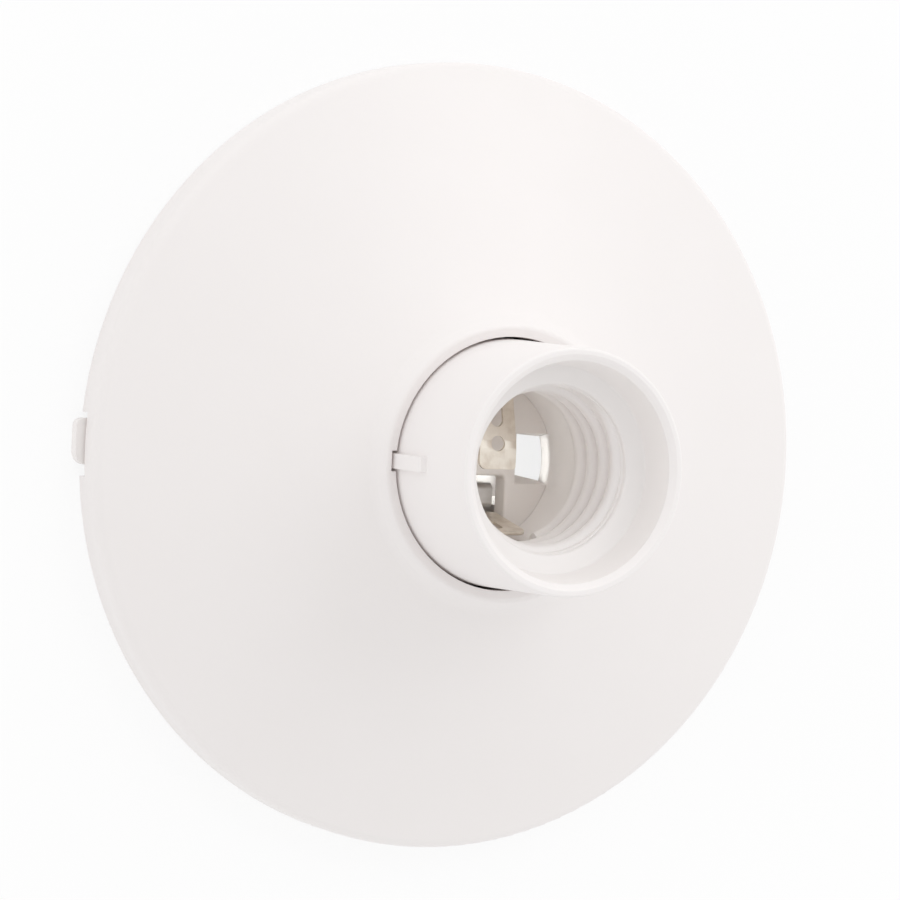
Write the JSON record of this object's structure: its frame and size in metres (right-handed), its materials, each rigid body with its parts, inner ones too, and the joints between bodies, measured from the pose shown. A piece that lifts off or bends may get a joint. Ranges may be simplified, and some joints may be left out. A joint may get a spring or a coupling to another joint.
{
  "type": "batten lamp holder",
  "caption": "White batten lamp holder: a shallow dish cover on a round base, with a screw cap barrel, sprung contacts and screw terminals inside.",
  "frame": {"origin": "centre of the flat back that lies on the ceiling or wall, on the lamp's axis", "axes": "+Z out of the front along the lamp's axis, -X towards the barrel's key and the base's lever tab, +Y towards the centre contact's leg and the active terminal"},
  "size_m": [0.1314, 0.13, 0.0452],
  "materials": {
    "cover_plastic": "satin",
    "barrel_plastic": "satin",
    "base_plastic": "matt",
    "carrier_plastic": "matt",
    "spring_strip": "plated",
    "brass": "satin",
    "steel": "plated"
  },
  "bodies": {
    "holder": {"base_plate": "base_plastic", "lamp_barrel": "barrel_plastic", "contact_carrier": "carrier_plastic", "centre_contact_strap": "brass", "side_contact_strap": "steel", "centre_strap_rivet": "steel", "side_strap_rivet": "steel", "active_terminal": "brass", "neutral_terminal": "brass", "loop_terminal": "brass", "earth_terminal": "brass", "active_terminal_screw": "steel", "neutral_terminal_screw": "steel", "loop_terminal_screw": "steel", "earth_terminal_screw": "steel", "barrel_screw_left": "steel", "barrel_screw_right": "steel", "carrier_screw": "steel"},
    "cover": {"cover_dish": "cover_plastic"},
    "centre_spring": {"centre_contact": "spring_strip"},
    "side_spring": {"side_contact": "spring_strip"}
  },
  "joints": [
    {"name": "cover_pull_off", "type": "slide", "parent": "holder", "child": "cover", "axis": [0, 0, 1], "range_m": [0, 0.05]},
    {"name": "centre_contact_press", "type": "hinge", "parent": "holder", "child": "centre_spring", "pos_m": [0, 0.01245, 0.012], "axis": [1, 0, 0], "range_deg": [0, 9], "stiffness_Nm_per_rad": 0.12},
    {"name": "side_contact_press", "type": "hinge", "parent": "holder", "child": "side_spring", "pos_m": [0, -0.00885, 0.0114], "axis": [1, 0, 0], "range_deg": [0, 4], "stiffness_Nm_per_rad": 0.12}
  ]
}
